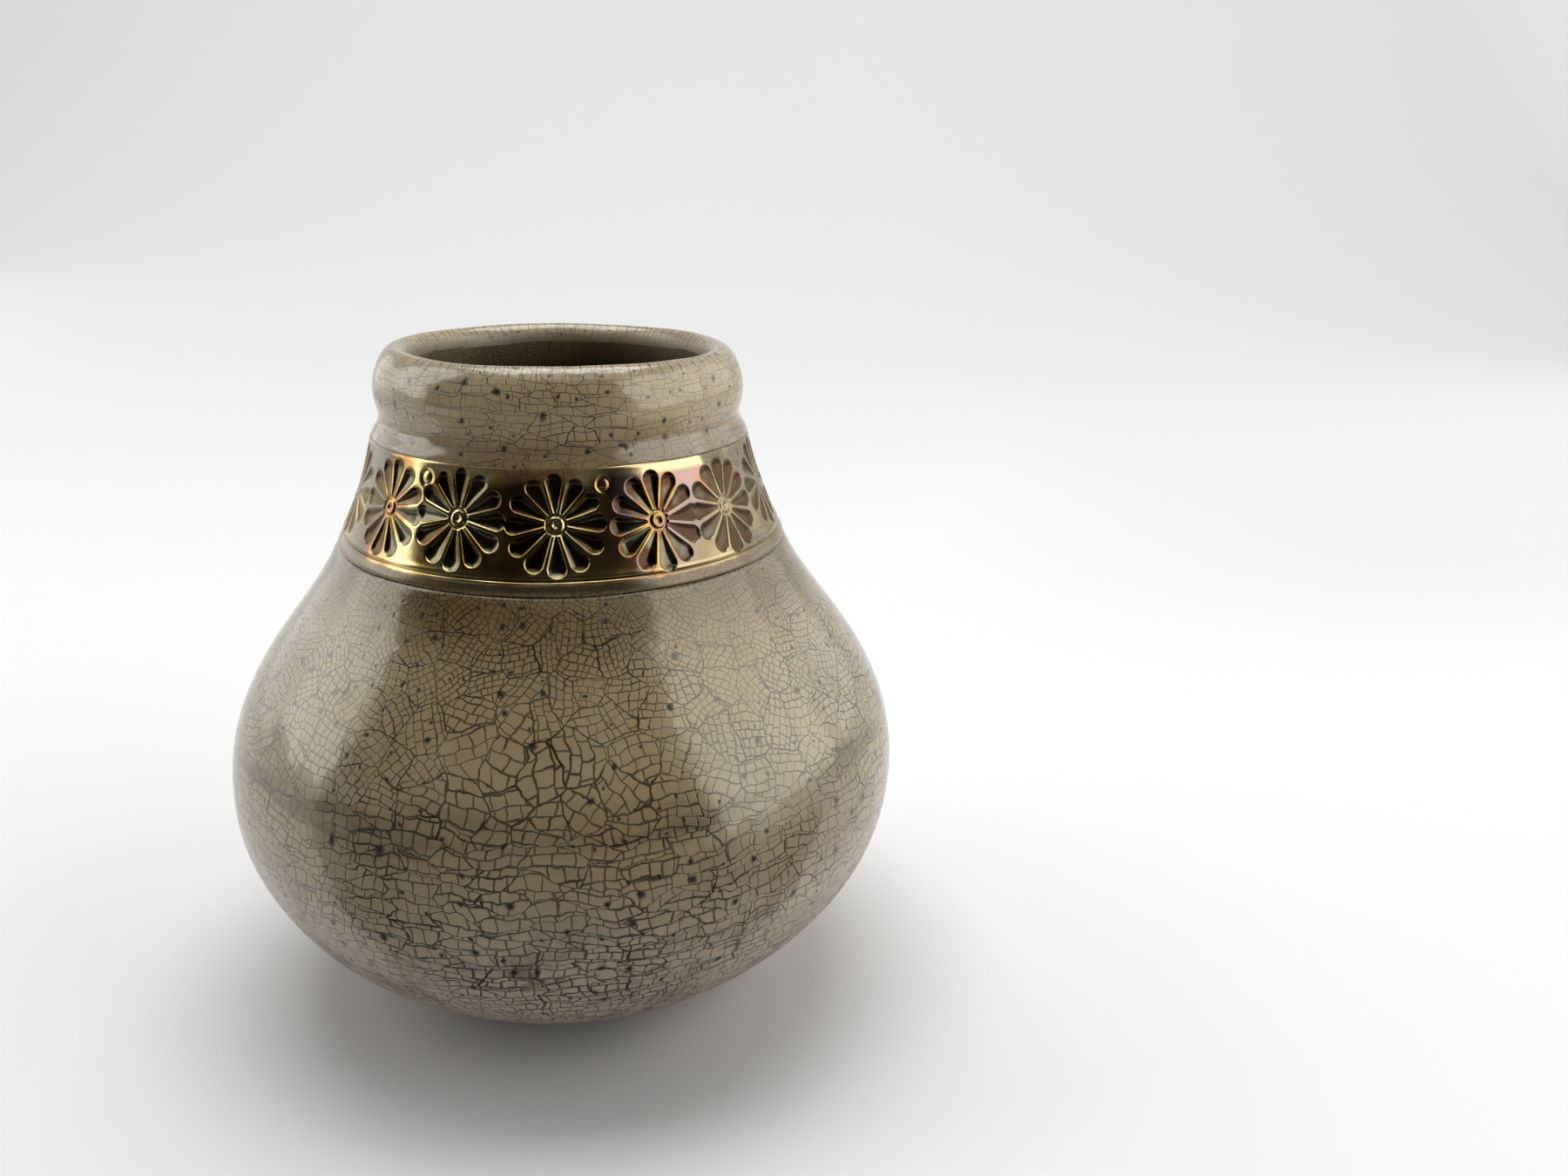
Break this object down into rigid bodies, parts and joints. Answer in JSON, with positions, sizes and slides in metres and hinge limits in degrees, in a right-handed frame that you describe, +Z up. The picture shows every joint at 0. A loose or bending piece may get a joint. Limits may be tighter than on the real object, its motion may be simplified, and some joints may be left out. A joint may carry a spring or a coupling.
{
  "type": "mate cup",
  "caption": "Squat gourd-shaped raku mate cup with crackle glaze, a rolled rim and a lustre band of stamped daisies round the neck",
  "frame": {"origin": "centre of the foot ring, on the surface the cup stands on", "axes": "+Z up along the axis the cup was thrown on; -Y faces the viewer of the picture"},
  "size_m": [0.09, 0.09, 0.0874],
  "materials": {
    "crackle_glaze": "glossy raku glaze in stone grey and olive, with a smoke-blackened crackle",
    "daisy_lustre": "mirror-like metallic lustre in gold, copper and violet",
    "bare_clay": "unglazed clay, smoked dark and matt"
  },
  "bodies": {
    "root": {"foot_ring": "bare_clay", "belly": "crackle_glaze", "shoulder": "crackle_glaze", "border_fillet": "crackle_glaze", "daisy_band": "daisy_lustre", "collar_bead": "crackle_glaze", "rim_roll": "crackle_glaze"}
  },
  "joints": []
}
